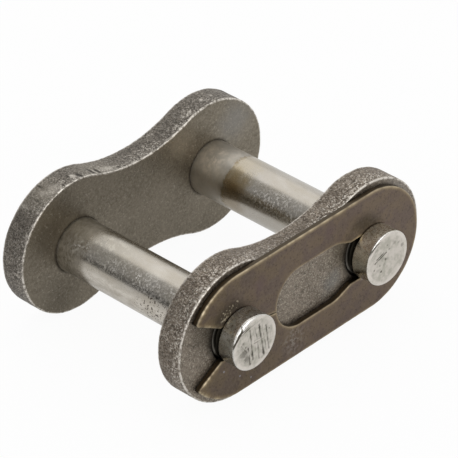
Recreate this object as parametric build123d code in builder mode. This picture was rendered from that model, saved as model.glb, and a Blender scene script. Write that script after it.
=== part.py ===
from build123d import *
from math import atan2, cos, radians, sin, tan
import os

# Connecting link of a single-strand roller chain, spring clip type, 25.4 mm pitch, heavy plates.
# Origin: left pin's axis, halfway between the two plates.
# +X runs from the left pin to the right pin, +Y from the clip side to the riveted side, +Z is up.
# It stands on the lower lobes of its two plates, with its pins lying flat.

# Chain
pitch = 25.4
plate_gap = 25.3                  # clear width between the plates, for the neighbouring inner links

# Plates: a lobe round each pin, joined by a waist
plate_thickness = 3.9
lobe_radius = 10.14
waist_height = 15.1
plate_edge_chamfer = 0.2          # edge broken by tumbling, round both faces

# Pins
pin_diameter = 7.94
groove_diameter = 6.5
groove_inset = 0.15               # the groove starts this far inside the cover plate's hole
groove_shoulder = 0.93            # from the cover plate's face to the shoulder that holds the clip
head_length = 2.7                 # from that shoulder to the pin's free end
head_chamfer = 0.25               # at the free end
rivet_height = 0.9                # riveted end, above the pin link plate's outer face
rivet_flare = 0.38                # how far the riveted end spreads over the hole's countersink
rivet_brow = 0.35                 # radial width and height of the steep band round the riveted end
rivet_flat_radius = 2.6           # flat left at the middle of the riveted end

# Cover plate's holes
slip_clearance = 0.07             # radial
hole_chamfer = 0.2                # round the outer face only, where the punch went in

# Spring clip
clip_thickness = 0.8
clip_stand_off = 0.07             # from the cover plate's face
clip_height = 18.5
clip_end_setback = 0.15           # the closed end's centre lies this far short of the right pin
clip_play = 0.06                  # radial, round both grooves
slot_height = 8.95                # wide stretch of the slot, for the right pin's head to pass
slot_left = 7.05                  # left end of the slot
slot_shoulder = 18.4              # the slot starts to narrow here
slot_neck = 21.35                 # and here it is down to the groove
slot_shoulder_radius = 5.0
slot_neck_radius = 0.5
slit_width = 0.12                 # parts the two legs, from the slot to the left notch
slit_angle = -10.0
throat_height = 5.2               # mouth's narrowest stretch, which snaps over the groove
throat_depth = 3.3                # from the left pin's axis to where the mouth starts to flare
mouth_angle = 30.0                # each flank, from the clip's centre line
throat_radius = 0.3
tip_radius = 0.45
clip_edge_chamfer = 0.1           # worn edge of the clip's outer face

# Worked out from the above
pin_radius = pin_diameter / 2
groove_radius = groove_diameter / 2
inner_face = plate_gap / 2
outer_face = inner_face + plate_thickness
link_middle = pitch / 2
shoulder_y = -(outer_face + groove_shoulder)
free_end_y = shoulder_y - head_length
rivet_end_y = outer_face + rivet_height
right_end_centre = pitch - clip_end_setback
clip_back = outer_face + clip_stand_off


def plate_outline():
    """Figure-eight outline: two lobes and the two waist arcs tangent to them."""
    half_waist = waist_height / 2
    waist_radius = (link_middle**2 + half_waist**2 - lobe_radius**2) / (2 * (lobe_radius - half_waist))
    tangent_angle = atan2(half_waist + waist_radius, link_middle)
    x = lobe_radius * cos(tangent_angle)
    z = lobe_radius * sin(tangent_angle)
    with BuildSketch() as outline:
        with BuildLine():
            ThreePointArc((x, -z), (-lobe_radius, 0), (x, z))
            ThreePointArc((x, z), (link_middle, half_waist), (pitch - x, z))
            ThreePointArc((pitch - x, z), (pitch + lobe_radius, 0), (pitch - x, -z))
            ThreePointArc((pitch - x, -z), (link_middle, -half_waist), (x, -z))
        make_face()
    return outline.sketch


def plate_rim(part):
    """The edges of a plate's outline, on both faces."""
    faces = part.faces().filter_by(Axis.Y).sort_by(SortBy.AREA)[-2:]
    return [edge for face in faces for edge in face.outer_wire().edges()]


def pin_places():
    """Both pin axes, in a plate's own plane."""
    return Locations((0, 0), (pitch, 0))


def pin_profile():
    """Half section of a pin, radius along x: free end, groove, shank and riveted end."""
    flare = pin_radius + rivet_flare
    groove_wall_y = groove_inset - outer_face
    with BuildSketch() as profile:
        with BuildLine():
            Polyline(
                (0, rivet_end_y),
                (0, free_end_y),
                (pin_radius - head_chamfer, free_end_y),
                (pin_radius, free_end_y + head_chamfer),
                (pin_radius, shoulder_y),
                (groove_radius, shoulder_y),
                (groove_radius, groove_wall_y),
                (pin_radius, groove_wall_y),
                (pin_radius, outer_face - rivet_flare),
                (flare, outer_face),
                (flare - rivet_brow, outer_face + rivet_brow),
                (rivet_flat_radius, rivet_end_y),
                close=True,
            )
        make_face()
    return profile.sketch


# Pin link plate: both pins are pressed in, and riveted into its countersunk outer face
with BuildPart() as pin_link_plate:
    with BuildSketch(Plane.XZ.offset(-outer_face)):
        add(plate_outline())
        with pin_places():
            Circle(pin_radius, mode=Mode.SUBTRACT)
    extrude(amount=plate_thickness)
    chamfer(plate_rim(pin_link_plate), plate_edge_chamfer)
    countersinks = pin_link_plate.faces().filter_by(Axis.Y).sort_by(Axis.Y)[-1].inner_wires()
    chamfer([edge for wire in countersinks for edge in wire.edges()], rivet_flare)

# Cover plate: slips over both pins
with BuildPart() as cover_plate:
    with BuildSketch(Plane.XZ.offset(inner_face)):
        add(plate_outline())
        with pin_places():
            Circle(pin_radius + slip_clearance, mode=Mode.SUBTRACT)
    extrude(amount=plate_thickness)
    chamfer(plate_rim(cover_plate), plate_edge_chamfer)
    hole_mouths = cover_plate.faces().filter_by(Axis.Y).sort_by(Axis.Y)[0].inner_wires()
    chamfer([edge for wire in hole_mouths for edge in wire.edges()], hole_chamfer)

# Pins: one turned part, used twice
with BuildPart() as left_pin:
    add(pin_profile())
    revolve(axis=Axis.Y)

with BuildPart() as right_pin:
    with Locations((pitch, 0, 0)):
        add(left_pin.part)

# Spring clip: held between the cover plate and the shoulders of both grooves
notch_radius = groove_radius + clip_play
flank_reach = lobe_radius
flank_height = throat_height / 2 + (flank_reach - throat_depth) * tan(radians(mouth_angle))
slot_half = slot_height / 2
slot_centre = slot_left + slot_half
slit_length = 2 * (slot_left - notch_radius)

with BuildPart() as spring_clip:
    with BuildSketch(Plane.XZ.offset(clip_back)) as clip_outline:
        with Locations((right_end_centre / 2, 0)):
            SlotCenterToCenter(right_end_centre, clip_height)
        # Mouth: flared flanks that lead into a throat narrower than the groove
        with BuildSketch(mode=Mode.SUBTRACT) as mouth:
            with BuildLine():
                Polyline(
                    (0, throat_height / 2),
                    (-throat_depth, throat_height / 2),
                    (-flank_reach, flank_height),
                    (-flank_reach, -flank_height),
                    (-throat_depth, -throat_height / 2),
                    (0, -throat_height / 2),
                    close=True,
                )
            make_face()
            fillet(mouth.vertices().group_by(Axis.X)[1], throat_radius)
        fillet(clip_outline.vertices().group_by(Axis.X)[0], tip_radius)
        # Notch round the left pin's groove
        Circle(notch_radius, mode=Mode.SUBTRACT)
        # Slot: round left end, wide stretch, and a neck that ends round the right pin's groove
        with BuildSketch(mode=Mode.SUBTRACT) as slot:
            with BuildLine():
                ThreePointArc((slot_centre, slot_half), (slot_left, 0), (slot_centre, -slot_half))
                lower_side = Polyline(
                    (slot_centre, -slot_half),
                    (slot_shoulder, -slot_half),
                    (slot_neck, -notch_radius),
                    (pitch, -notch_radius),
                )
                ThreePointArc((pitch, -notch_radius), (pitch + notch_radius, 0), (pitch, notch_radius))
                mirror(lower_side, about=Plane.XZ)
            make_face()
            fillet(slot.vertices().group_by(Axis.X)[2], slot_neck_radius)
            fillet(slot.vertices().group_by(Axis.X)[1], slot_shoulder_radius)
        # Slit: parts the two legs, so that they can spread
        with Locations(Location(((slot_left + notch_radius) / 2, 0, 0), (0, 0, slit_angle))):
            Rectangle(slit_length, slit_width, mode=Mode.SUBTRACT)
    extrude(amount=clip_thickness)
    chamfer(spring_clip.faces().sort_by(Axis.Y)[0].edges(), clip_edge_chamfer)

pieces = {
    "pin_link_plate": pin_link_plate,
    "left_pin": left_pin,
    "right_pin": right_pin,
    "cover_plate": cover_plate,
    "spring_clip": spring_clip,
}
os.makedirs("parts", exist_ok=True)
for node, piece in pieces.items():
    piece.part.label = node
    export_step(piece.part, f"parts/{node}.step")
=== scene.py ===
from math import atan2, ceil, cos, degrees, hypot, pi, radians, sin, sqrt, tan

import bmesh
import bpy
import numpy as np
from mathutils import Matrix, Vector, noise
from mathutils.geometry import delaunay_2d_cdt


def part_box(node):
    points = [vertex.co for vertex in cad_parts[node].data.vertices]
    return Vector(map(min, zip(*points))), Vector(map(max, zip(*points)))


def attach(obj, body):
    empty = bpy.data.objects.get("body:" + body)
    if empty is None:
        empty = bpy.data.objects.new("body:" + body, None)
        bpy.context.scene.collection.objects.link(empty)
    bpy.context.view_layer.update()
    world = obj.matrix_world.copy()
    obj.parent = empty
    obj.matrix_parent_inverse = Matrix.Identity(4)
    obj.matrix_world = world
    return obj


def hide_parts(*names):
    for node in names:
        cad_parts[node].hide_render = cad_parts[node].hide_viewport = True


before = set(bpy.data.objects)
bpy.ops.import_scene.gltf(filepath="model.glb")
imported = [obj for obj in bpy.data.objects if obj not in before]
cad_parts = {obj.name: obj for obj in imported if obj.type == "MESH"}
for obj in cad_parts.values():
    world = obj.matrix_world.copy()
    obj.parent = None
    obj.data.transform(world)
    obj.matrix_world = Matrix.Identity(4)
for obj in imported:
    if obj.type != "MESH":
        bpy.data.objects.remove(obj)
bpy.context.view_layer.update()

scene = bpy.context.scene

# Sizes in millimetres, as in the CAD; meshes are scaled to metres when they are made.
MM = 0.001
PITCH = 25.4
LOBE_R = 10.14
HALF_WAIST = 7.55
PIN_R = 3.97
GROOVE_R = 3.25
HOLE_R = 4.04
HOLE_CHAMFER = 0.2
COUNTERSINK = 0.38
HEAD_ROUND = 0.25
GROOVE_SHOULDER = 0.93
GROOVE_INSET = 0.15
RIVET_FLARE = 0.38
RIVET_BROW = 0.35
RIVET_FLAT_R = 2.6


def span_y(node):
    """A node's lowest and highest y, in millimetres."""
    low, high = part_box(node)
    return low.y / MM, high.y / MM


COVER_Y = span_y("cover_plate")
REAR_Y = span_y("pin_link_plate")
PIN_Y = span_y("left_pin")
CLIP_Y = span_y("spring_clip")


# -------- geometry helpers

def unit(value):
    """The value, kept between 0 and 1."""
    return min(1.0, max(0.0, value))


def wobble(seed, x, y, z, size):
    """Smooth noise, about -1 to 1, with features about that size across."""
    return noise.noise(Vector((x / size + seed * 17.3, y / size - seed * 5.1, z / size + seed)))


def dimple(seed, x, y, z, size):
    """Depth, 0 to 1, of a field of shot marks about that size apart."""
    place = Vector((x / size + seed * 9.7, y / size, z / size - seed * 3.3))
    nearest = noise.voronoi(place)[0][0]
    return max(0.0, 1.0 - nearest / 0.62) ** 1.5


def to_segment(x, z, x0, z0, x1, z1):
    """Distance from a point to a segment, and how far along it the nearest place lies, 0 to 1."""
    dx, dz = x1 - x0, z1 - z0
    share = unit(((x - x0) * dx + (z - z0) * dz) / (dx * dx + dz * dz))
    return hypot(x - x0 - share * dx, z - z0 - share * dz), share


def in_scene(name, data):
    """A new object with that data."""
    item = bpy.data.objects.new(name, data)
    scene.collection.objects.link(item)
    return item


class Shape:
    """Vertices, faces and per-vertex masks of one piece, in millimetres."""

    def __init__(self, *masks):
        self.verts, self.faces = [], []
        self.masks = {m: [] for m in masks}

    def add(self, x, y, z, **values):
        self.verts.append((x, y, z))
        for m, stored in self.masks.items():
            stored.append(values.get(m, 0.0))
        return len(self.verts) - 1

    def circle(self, cx, y, r, turns, **values):
        """A ring of vertices round an axis along y."""
        return [self.add(cx + r * cos(t), y, r * sin(t), **values) for t in turns]

    def skin(self, rings):
        """Quads between neighbours in a list of closed rings of the same length."""
        for a, b in zip(rings, rings[1:]):
            for i in range(len(a)):
                j = (i + 1) % len(a)
                self.faces.append((a[i], b[i], b[j], a[j]))

    def cap(self, rings, spacing, place):
        """Fills the flat region between rings, the outer one first; place(x, z) adds an inner vertex."""
        loops = [np.array([(self.verts[i][0], self.verts[i][2]) for i in r]) for r in rings]
        flat = np.concatenate(loops)
        ids = [i for r in rings for i in r]
        edges, start = [], 0
        for r in rings:
            n = len(r)
            edges += [(start + k, start + (k + 1) % n) for k in range(n)]
            start += n
        inner = inner_points(flat, loops, spacing)
        points = [Vector(p) for p in np.concatenate([flat, inner])]
        out, _, tris, origin, _, _ = delaunay_2d_cdt(points, edges, [], 1, 1e-7)
        made = {}

        def index(k):
            if k not in made:
                source = [s for s in origin[k] if s < len(ids)]
                made[k] = ids[source[0]] if source else place(out[k].x, out[k].y)
            return made[k]

        centres = np.array([[(out[a].x + out[b].x + out[c].x) / 3, (out[a].y + out[b].y + out[c].y) / 3]
                            for a, b, c in tris])
        for (a, b, c), kept in zip(tris, inside(centres, loops)):
            if kept:
                self.faces.append((index(a), index(b), index(c)))

    def build(self, name, material, body, slot, *replaced):
        mesh = bpy.data.meshes.new(name)
        mesh.from_pydata([tuple(c * MM for c in v) for v in self.verts], [], self.faces)
        for m, stored in self.masks.items():
            mesh.attributes.new(m, "FLOAT", "POINT").data.foreach_set("value", np.array(stored, np.float32))
        mesh.polygons.foreach_set("use_smooth", [True] * len(mesh.polygons))
        outward(mesh)
        mesh.materials.append(material)
        piece = in_scene(name, mesh)
        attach(piece, body)
        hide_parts(*replaced)


def outward(mesh):
    """Turns every face of a closed mesh outwards."""
    bm = bmesh.new()
    bm.from_mesh(mesh)
    bmesh.ops.recalc_face_normals(bm, faces=bm.faces)
    bm.to_mesh(mesh)
    bm.free()


def inner_points(rim, loops, spacing):
    """An uneven triangular grid of points inside the loops, clear of the points on their rims."""
    low, high = loops[0].min(0), loops[0].max(0)
    row_step = spacing * sqrt(3) / 2
    jitter, size = 0.2 * spacing, 0.7 * spacing
    grid = []
    for k in range(int((high[1] - low[1]) / row_step) + 1):
        z = low[1] + k * row_step
        for m in range(int((high[0] - low[0]) / spacing) + 1):
            x = low[0] + (m + 0.5 * (k % 2)) * spacing
            grid.append((x + jitter * wobble(1, x, 0, z, size), z + jitter * wobble(2, x, 0, z, size)))
    grid = np.array(grid)
    gap = np.full(len(grid), np.inf)
    for x, z in rim:
        gap = np.minimum(gap, np.hypot(grid[:, 0] - x, grid[:, 1] - z))
    return grid[(gap > 0.6 * spacing) & inside(grid, loops)]


def inside(points, loops):
    """Whether each point is in the region between the loops, by counting crossings."""
    odd = np.zeros(len(points), bool)
    x, z = points[:, 0], points[:, 1]
    for loop in loops:
        for (ax, az), (bx, bz) in zip(loop, np.roll(loop, -1, axis=0)):
            if az != bz:
                odd ^= ((az > z) != (bz > z)) & (x < (bx - ax) * (z - az) / (bz - az) + ax)
    return odd


def arc(cx, cz, r, a0, a1, step, convex=True):
    """Points of an arc with their outward normals; angles in degrees; the last point is left out."""
    n = max(2, ceil(abs(radians(a1 - a0)) * r / step))
    side = 1 if convex else -1
    out = []
    for k in range(n):
        a = radians(a0 + (a1 - a0) * k / n)
        nx, nz = cos(a), sin(a)
        out.append((cx + r * nx, cz + r * nz, side * nx, side * nz))
    return out


def line(p, q, step):
    """Points of a straight run; the last point is left out."""
    dx, dz = q[0] - p[0], q[1] - p[1]
    n = max(1, ceil(hypot(dx, dz) / step))
    return [(p[0] + dx * k / n, p[1] + dz * k / n) for k in range(n)]


# -------- plates

EDGE_ROUND = 0.17                 # mean rounding of a plate's edges
RIM_STEP = 0.14                   # between the outline's points
WALL_ROWS, ROUND_ROWS = 22, 4     # rows of points across a rim and round each of its edges
FACE_ROWS = (0.35, 0.12)          # rows on a face, from where the rounding starts
SHOT_DEPTH = 0.05
KNOCK_DEPTH = 0.06
RIM_WAVE = 0.012                  # unevenness of a rim
FACE_WAVE = 0.006                 # and of a face
FACE_SPACING = (0.5, 0.6)         # between points on the front and the back
BORE_TURNS = np.linspace(0, 2 * pi, 128, endpoint=False)

# Knocks on the rims: place, half length round the rim, half width across it, and shine.
# The shine is below 0 for a gouge.
REAR_KNOCKS = (
    (0.84, 13.8, 10.05, 0.5, 0.5, 1.0), (0.3, 14.2, 10.08, 0.22, 0.3, -0.9),
    (1.7, 13.5, 9.93, 0.3, 0.75, -1.0), (4.15, 13.8, 9.2, 0.36, 0.85, -1.0),
    (5.15, 13.65, 8.82, 0.34, 0.7, -1.0), (4.65, 13.7, 9.0, 0.25, 0.6, 0.8),
    (6.9, 13.65, 8.28, 1.6, 0.6, 0.5), (7.9, 13.1, 8.05, 0.25, 0.25, -0.8),
    (8.8, 13.35, 7.85, 0.4, 0.25, -0.6), (-3.3, 15.9, 9.47, 0.14, 0.6, -0.8),
    (-2.7, 13.8, 9.66, 1.3, 0.9, 0.3), (-3.9, 14.6, 9.24, 0.5, 0.5, 0.35),
    (-6.2, 15.6, 7.88, 0.35, 0.8, 0.35), (-6.15, 13.2, 7.92, 0.22, 0.25, 0.9),
    (-7.5, 12.95, 6.65, 0.2, 0.2, 0.9), (-8.4, 13.1, 5.48, 0.25, 0.25, 0.7),
    (-5.0, 14.3, 8.69, 0.2, 0.9, -0.5), (-7.9, 14.6, 6.18, 0.2, 0.8, -0.45),
    (25.6, 14.3, 10.03, 0.35, 0.3, 0.8), (22.7, 13.6, 9.66, 0.3, 0.3, 0.7), (21.7, 13.9, 9.33, 0.2, 0.4, 0.6),
    (27.6, 14.4, 9.79, 0.25, 0.3, 0.7), (20.6, 14.4, 8.86, 0.3, 0.6, -0.55),
    (18.3, 14.9, 8.02, 0.2, 0.8, -0.4), (23.9, 14.9, 9.92, 0.22, 0.5, -0.5),
    (-8.2, 14.2, -5.78, 0.3, 0.4, 0.6), (12.0, 15.2, -7.51, 0.8, 0.5, 0.4),
    (31.5, 14.0, -7.96, 0.3, 0.6, 0.5),
)
COVER_KNOCKS = (
    (-5.5, -16.35, 8.39, 0.45, 0.28, 1.0), (-4.8, -15.6, 8.8, 0.28, 0.24, 0.8),
    (-3.0, -15.8, 9.57, 0.22, 0.3, 0.8), (-6.3, -15.9, 7.8, 0.24, 0.2, 0.8),
    (-9.94, -16.1, 1.32, 0.2, 0.2, 0.9), (-10.03, -15.6, -0.2, 0.34, 0.22, 1.0),
    (-9.9, -14.9, 1.6, 0.2, 0.2, 0.7), (-7.2, -15.3, 6.98, 0.2, 0.25, 0.6),
    (-1.7, -15.2, 9.88, 0.3, 0.2, 0.6), (23.4, -15.8, 9.83, 0.5, 0.16, 0.6),
    (22.0, -15.8, 9.43, 0.3, 0.25, 0.7), (20.4, -15.4, 8.8, 0.4, 0.2, 0.5),
    (25.3, -15.0, 10.03, 0.9, 0.1, 0.4), (17.6, -15.2, 7.9, 0.2, 0.5, -0.5),
    (-8.9, -14.4, 4.62, 0.25, 0.4, -0.5), (-6.9, -14.0, -7.28, 0.3, 0.4, 0.6),
    (33.4, -14.5, -6.05, 0.35, 0.3, 0.6), (10.0, -14.8, -7.65, 0.5, 0.4, 0.5),
)


def lobed_outline(step):
    """The plate's figure-eight outline, anticlockwise in x and z."""
    half = PITCH / 2
    waist_r = (half**2 + HALF_WAIST**2 - LOBE_R**2) / (2 * (LOBE_R - HALF_WAIST))
    centre = HALF_WAIST + waist_r
    turn = degrees(atan2(centre, half))
    return (
        arc(0, 0, LOBE_R, turn, 360 - turn, step)
        + arc(half, -centre, waist_r, 180 - turn, turn, step, convex=False)
        + arc(PITCH, 0, LOBE_R, turn - 180, 180 - turn, step)
        + arc(half, centre, waist_r, -turn, turn - 180, step, convex=False)
    )


def knocked(knocks, seed, x, y, z, nx, nz):
    """Strongest knock at a point of the rim, below 0 where it is a gouge."""
    strongest = 0.0
    for kx, ky, kz, along, across, shine in knocks:
        # The plate's other side faces the knock too, so what lies far off is left out.
        if abs(x - kx) + abs(z - kz) > 2 * along + 0.8:
            continue
        round_rim = (z - kz) * nx - (x - kx) * nz
        reach = hypot(round_rim / along, (y - ky) / across) + 0.35 * wobble(seed, x, y, z, 0.35)
        value = shine * unit(1.9 - 1.6 * reach)
        if abs(value) > abs(strongest):
            strongest = value
    return strongest


def plate(name, node, span, seed, front, back, hole_r, knocks, material, body):
    """A tumbled figure-eight plate, its holes chamfered that far in front and at the back."""
    shape = Shape("rim", "wear", "pit", "knock")
    outline = lobed_outline(RIM_STEP)
    y0, y1 = span

    def rounding(side, x, z):
        broad, narrow = wobble(seed + side, x, 0, z, 1.8), wobble(seed + side + 7, x, 0, z, 0.5)
        return EDGE_ROUND + 0.06 * broad + 0.04 * narrow

    def vertex(x, z, nx, nz, inset, y, rim, wear):
        pit = 0.6 * dimple(seed, x, 0.8 * y, z, 0.8) + 0.4 * (0.5 + wobble(seed + 3, x, 0.7 * y, z, 0.45))
        knock = knocked(knocks, seed, x, y, z, nx, nz)
        wave = RIM_WAVE * (1 + wobble(seed + 9, x, y, z, 2.2))
        inset += rim * max(0.0, SHOT_DEPTH * pit + wave + KNOCK_DEPTH * max(0.0, -knock))
        return shape.add(x - nx * inset, y, z - nz * inset, rim=rim, wear=wear, pit=pit * rim, knock=knock)

    def edge_row(side, a, gap=0.0):
        """A row on a rounded edge at that slant, or on the face at that gap inside it."""
        row = []
        for x, z, nx, nz in outline:
            r = rounding(side, x, z)
            y = span[side] + (1, -1)[side] * r * (1 - cos(a))
            row.append(vertex(x, z, nx, nz, r * (1 - sin(a)) + gap, y, sin(a) ** 2, 0.0 if gap else 1.0))
        return row

    def wall_row(share):
        """A row on the rim, that share of the way from its front edge to its back edge."""
        row = []
        for x, z, nx, nz in outline:
            y = (y0 + rounding(0, x, z)) * (1 - share) + (y1 - rounding(1, x, z)) * share
            row.append(vertex(x, z, nx, nz, 0, y, 1, 0.6 if share in (0, 1) else 0.0))
        return row

    slants = [radians(90 * k / ROUND_ROWS) for k in range(ROUND_ROWS)]
    front_rows, back_rows = (
        [edge_row(side, 0, gap) for gap in FACE_ROWS] + [edge_row(side, a) for a in slants]
        for side in (0, 1))
    rings = front_rows + [wall_row(k / WALL_ROWS) for k in range(WALL_ROWS + 1)] + back_rows[::-1]
    shape.skin(rings)

    border = 0.12
    profile = [(hole_r + front + border, y0, 0.0), (hole_r + front, y0, 0.05 if front else 0.0)]
    if front:
        profile += [(hole_r + 0.7 * front, y0 + 0.2 * front, 0.0), (hole_r, y0 + front, 0.0)]
    profile += [(hole_r, (y0 + y1) / 2, 0.0)]
    if back:
        profile += [(hole_r, y1 - back, 0.0)]
    profile += [(hole_r + back, y1, 0.0), (hole_r + back + border, y1, 0.0)]
    bores = [[shape.circle(cx, y, r, BORE_TURNS, wear=wear) for r, y, wear in profile] for cx in (0, PITCH)]
    for bore in bores:
        shape.skin(bore[::-1])

    def on_face(y, inward):
        return lambda x, z: shape.add(x, y + inward * FACE_WAVE * (1 + wobble(seed + 5, x, 0, z, 1.3)), z)

    shape.cap([rings[0]] + [bore[0] for bore in bores], FACE_SPACING[0], on_face(y0, 1))
    shape.cap([rings[-1]] + [bore[-1] for bore in bores], FACE_SPACING[1], on_face(y1, -1))
    shape.build(name, material, body, "plate_steel", node)


# -------- pins

TURNS = np.linspace(0, 2 * pi, 144, endpoint=False)
ROUND_STEPS = 12                  # rows round the free end's edge
SHANK_STEPS = 60
# How far the painted dark sliver dips the surface.
SLIVER_DEPTH = 0.03
SCRATCH_DEPTH = 0.018
END_SPACING = (0.085, 0.5)        # between points on the free and the riveted end
CRISP, SUPPORT = 0.05, 0.12       # rows this close to a sharp edge keep it sharp

# Marks on the pins' free ends, from the pin's own axis.
# Scratches: x and z of both ends, half width and depth, 0 to 1. Pits: x, z, radius and depth.
# Painted dark slivers in the rounded edge, standing for its dark reflection, point by point: turn, radius,
# half width and darkness.
LEFT_SCRATCHES = (
    (2.12, 1.66, 2.58, -2.27, 0.17, 0.75), (0.84, 2.41, 1.62, -2.68, 0.2, 0.85),
    (0.05, 2.4, 0.46, 0.4, 0.14, 0.6), (-0.83, 2.31, -0.39, -2.5, 0.17, 0.7),
    (-1.2, -0.3, -0.98, -2.92, 0.19, 0.75), (0.51, -0.2, 0.72, -2.91, 0.15, 0.6),
    (-0.23, -0.09, 1.51, -0.15, 0.09, 0.7), (-2.48, 0.72, -1.4, -0.95, 0.1, 0.7),
    (1.37, 1.59, 2.04, -1.49, 0.08, 0.6), (1.4, 2.5, 2.0, -2.11, 0.07, 0.5),
    (-0.17, 1.91, 0.22, -2.6, 0.07, 0.5), (-1.31, 1.81, -0.65, -1.9, 0.07, 0.5),
    (-0.1, 0.3, 0.9, 0.25, 0.08, 0.7), (2.75, 0.9, 2.95, -0.8, 0.07, 0.45), (0.95, 1.7, 1.1, -0.1, 0.06, 0.5),
    (-2.35, 2.3, -0.9, 2.75, 0.08, 0.85), (-0.9, 2.75, 1.4, 3.05, 0.06, 0.7),
)
LEFT_PITS = (
    (-1.95, -0.75, 0.95, 0.46), (-1.5, -1.8, 0.8, 0.44), (-2.35, 0.2, 0.5, 0.32), (-2.1, 0.9, 0.3, 0.42),
    (-1.3, -0.2, 0.4, 0.38), (2.68, 0.89, 0.13, 0.6), (-2.6, -0.9, 0.4, 0.28), (-1.7, 0.1, 0.16, 0.55),
)
LEFT_DARK_SLIVER = (
    (168, 3.94, 0.05, 0.4), (161, 3.88, 0.1, 0.8), (155, 3.79, 0.13, 1.0), (150, 3.72, 0.15, 1.0),
    (140, 3.63, 0.19, 0.85), (131, 3.58, 0.18, 0.8), (120, 3.93, 0.08, 0.55), (131, 3.58, 0.18, 0.8),
    (126, 3.38, 0.12, 0.6), (120, 3.2, 0.12, 0.5), (110, 3.17, 0.09, 0.42), (100, 3.0, 0.05, 0.2),
)
RIGHT_SCRATCHES = (
    (-0.18, 1.05, -2.42, 0.28, 0.12, 1.0), (-0.58, 1.25, -2.03, 0.72, 0.1, 0.85),
    (0.09, 0.04, -0.83, -0.77, 0.06, 0.6), (-1.17, 1.6, -0.45, 1.41, 0.05, 0.5),
    (-3.1, 1.4, -2.39, 0.6, 0.06, 0.5), (-3.2, 1.3, -1.6, 2.75, 0.06, 0.6), (-3.0, 0.9, -1.3, 2.4, 0.05, 0.4),
    (-2.8, 0.5, -0.4, 2.1, 0.05, 0.35), (-0.9, -1.5, -0.2, 0.2, 0.08, 0.4),
    (0.71, 2.79, 1.31, 2.09, 0.06, 0.4), (1.04, -0.73, 1.75, -2.04, 0.05, 0.35),
    (0.2, 0.6, 0.05, -0.35, 0.07, 0.6), (-2.6, 1.9, -1.2, 2.5, 0.05, 0.35),
)
RIGHT_PITS = (
    (-1.17, -1.57, 0.2, 0.8), (-2.55, -0.74, 0.2, 0.5), (0.08, 2.1, 0.16, 0.5), (1.4, 1.85, 0.45, 0.35),
    (2.93, 0.69, 0.4, 0.4), (-0.31, 0.03, 0.24, 0.55), (0.34, -2.23, 0.3, 0.25), (-1.9, 2.2, 0.25, 0.3),
    (-1.9, -1.1, 0.35, 0.32), (-1.5, -0.5, 0.2, 0.42), (0.4, 1.3, 0.25, 0.4), (2.3, 1.5, 0.3, 0.35),
    (-1.0, 0.3, 0.5, 0.27), (-0.5, -0.7, 0.35, 0.3),
)
RIGHT_DARK_SLIVER = (
    (104, 3.4, 0.05, 0.2), (112, 3.5, 0.1, 0.35), (120, 3.64, 0.17, 0.5), (130, 3.75, 0.17, 0.6),
    (140, 3.88, 0.14, 0.65), (150, 4.0, 0.08, 0.4),
)


def painted_sliver(dark_sliver, u, z):
    """How dark a place is, 0 to 1, on the painted dark sliver inside a free end's rim, which stands for a
    dark reflection.
    """
    ragged = 1.25 * (1 + 0.35 * wobble(3, u, 0, z, 0.3))
    darkest = 0.0
    for (turn0, r0, width0, dark0), (turn1, r1, width1, dark1) in zip(dark_sliver, dark_sliver[1:]):
        a, b = radians(turn0), radians(turn1)
        ends = (r0 * cos(a), r0 * sin(a), r1 * cos(b), r1 * sin(b))
        gap, share = to_segment(u, z, *ends)
        near = 1 - gap / (ragged * (width0 + share * (width1 - width0)))
        darkest = max(darkest, (dark0 + share * (dark1 - dark0)) * min(1.0, 2.0 * near))
    return darkest


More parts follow.
